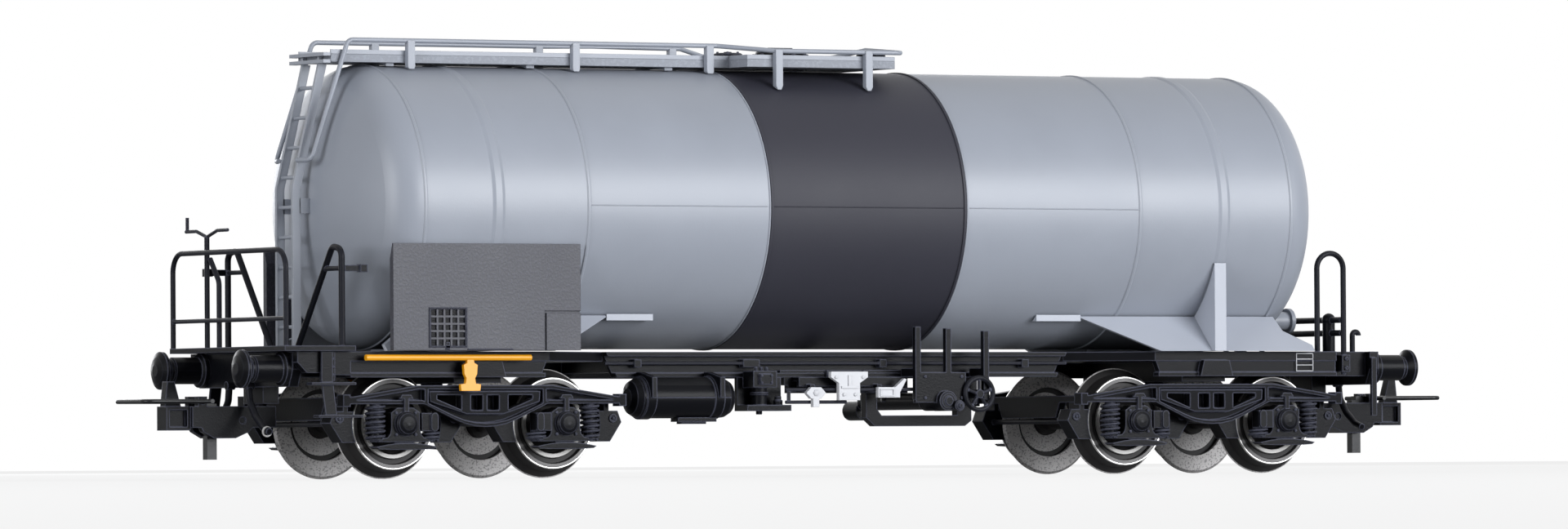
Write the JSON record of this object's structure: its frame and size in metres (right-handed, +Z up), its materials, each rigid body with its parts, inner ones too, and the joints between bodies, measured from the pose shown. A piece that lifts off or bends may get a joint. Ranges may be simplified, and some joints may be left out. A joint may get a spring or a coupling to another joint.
{
  "type": "model railway tank car",
  "caption": "Model tank car: a cylindrical tank on saddles, two swivelling bogies with turning wheelsets, a roof walkway, an end platform with ladder and railing, and swinging loop couplers.",
  "frame": {"origin": "on the floor that the wheel flanges stand on, under the middle of the car", "axes": "+X along the car towards the end without a platform, +Y across the car, +Z up"},
  "size_m": [0.1738, 0.0324, 0.0499],
  "materials": {
    "tank_paint": "satin light blue-grey",
    "band_paint": "satin near-black grey",
    "black_plastic": "matt black",
    "sign_grey": "matt dark grey",
    "yellow": "satin yellow",
    "white": "satin white",
    "wheel_metal": "bright turned metal with dark discs",
    "loop_wire": "blackened wire"
  },
  "bodies": {
    "car": {"air_reservoir": "black_plastic", "brake_distributor": "black_plastic", "brake_hoses_brake_end": "black_plastic", "brake_hoses_plain_end": "black_plastic", "brake_levers": "yellow", "brake_post": "black_plastic", "buffers_brake_end": "black_plastic", "buffers_plain_end": "black_plastic", "control_rods": "black_plastic", "coupler_mount_brake_end": "black_plastic", "coupler_mount_plain_end": "black_plastic", "discharge_plate": "black_plastic", "drain_stub": "tank_paint", "end_pipes": "black_plastic", "foot_steps": "black_plastic", "grab_handles": "black_plastic", "grab_hoops": "black_plastic", "guard_bow": "black_plastic", "hand_brake": "black_plastic", "handrails": "tank_paint", "handwheel": "black_plastic", "headstock_brake_end": "black_plastic", "headstock_plain_end": "black_plastic", "ladder": "tank_paint", "manhole": "black_plastic", "platform": "black_plastic", "platform_railing": "black_plastic", "roof_deck": "tank_paint", "saddle_brake_end": "tank_paint", "saddle_plain_end": "tank_paint", "sign_plates": "sign_grey", "tank_band": "band_paint", "tank_brake_end": "tank_paint", "tank_plain_end": "tank_paint", "underframe_brake_end": "black_plastic", "underframe_middle": "black_plastic", "underframe_plain_end": "black_plastic", "valve_covers": "black_plastic", "walkway": "tank_paint", "white_controls": "white"},
    "bogie_brake_end": {"axleboxes_brake_end": "black_plastic", "bogie_frame_brake_end": "black_plastic", "brake_shoes_brake_end": "black_plastic"},
    "wheelset_brake_end_inner": {"wheelset_brake_end_inner": "wheel_metal"},
    "wheelset_brake_end_outer": {"wheelset_brake_end_outer": "wheel_metal"},
    "coupler_brake_end": {"coupler_brake_end": "black_plastic"},
    "loop_brake_end": {"coupler_loop_brake_end": "loop_wire"},
    "bogie_plain_end": {"axleboxes_plain_end": "black_plastic", "bogie_frame_plain_end": "black_plastic", "brake_shoes_plain_end": "black_plastic"},
    "wheelset_plain_end_inner": {"wheelset_plain_end_inner": "wheel_metal"},
    "wheelset_plain_end_outer": {"wheelset_plain_end_outer": "wheel_metal"},
    "coupler_plain_end": {"coupler_plain_end": "black_plastic"},
    "loop_plain_end": {"coupler_loop_plain_end": "loop_wire"}
  },
  "joints": [
    {"name": "bogie_brake_end_swivel", "type": "hinge", "parent": "car", "child": "bogie_brake_end", "pos_m": [-0.04845, 0, 0.0088], "axis": [0, 0, 1], "range_deg": [-8, 8]},
    {"name": "wheelset_brake_end_outer_spin", "type": "hinge", "parent": "bogie_brake_end", "child": "wheelset_brake_end_outer", "pos_m": [-0.0587, 0, 0.0062], "axis": [0, 1, 0], "continuous": true},
    {"name": "wheelset_brake_end_inner_spin", "type": "hinge", "parent": "bogie_brake_end", "child": "wheelset_brake_end_inner", "pos_m": [-0.0382, 0, 0.0062], "axis": [0, 1, 0], "continuous": true},
    {"name": "coupler_brake_end_swivel", "type": "hinge", "parent": "car", "child": "coupler_brake_end", "pos_m": [-0.0703, 0, 0.0083], "axis": [0, 0, 1], "range_deg": [-10, 10]},
    {"name": "loop_brake_end_lift", "type": "hinge", "parent": "coupler_brake_end", "child": "loop_brake_end", "pos_m": [-0.0784, 0, 0.00885], "axis": [0, 1, 0], "range_deg": [0, 20]},
    {"name": "bogie_plain_end_swivel", "type": "hinge", "parent": "car", "child": "bogie_plain_end", "pos_m": [0.04845, 0, 0.0088], "axis": [0, 0, 1], "range_deg": [-8, 8]},
    {"name": "wheelset_plain_end_outer_spin", "type": "hinge", "parent": "bogie_plain_end", "child": "wheelset_plain_end_outer", "pos_m": [0.0587, 0, 0.0062], "axis": [0, 1, 0], "continuous": true},
    {"name": "wheelset_plain_end_inner_spin", "type": "hinge", "parent": "bogie_plain_end", "child": "wheelset_plain_end_inner", "pos_m": [0.0382, 0, 0.0062], "axis": [0, 1, 0], "continuous": true},
    {"name": "coupler_plain_end_swivel", "type": "hinge", "parent": "car", "child": "coupler_plain_end", "pos_m": [0.0703, 0, 0.0083], "axis": [0, 0, 1], "range_deg": [-10, 10]},
    {"name": "loop_plain_end_lift", "type": "hinge", "parent": "coupler_plain_end", "child": "loop_plain_end", "pos_m": [0.0784, 0, 0.00885], "axis": [0, -1, 0], "range_deg": [0, 20]}
  ]
}
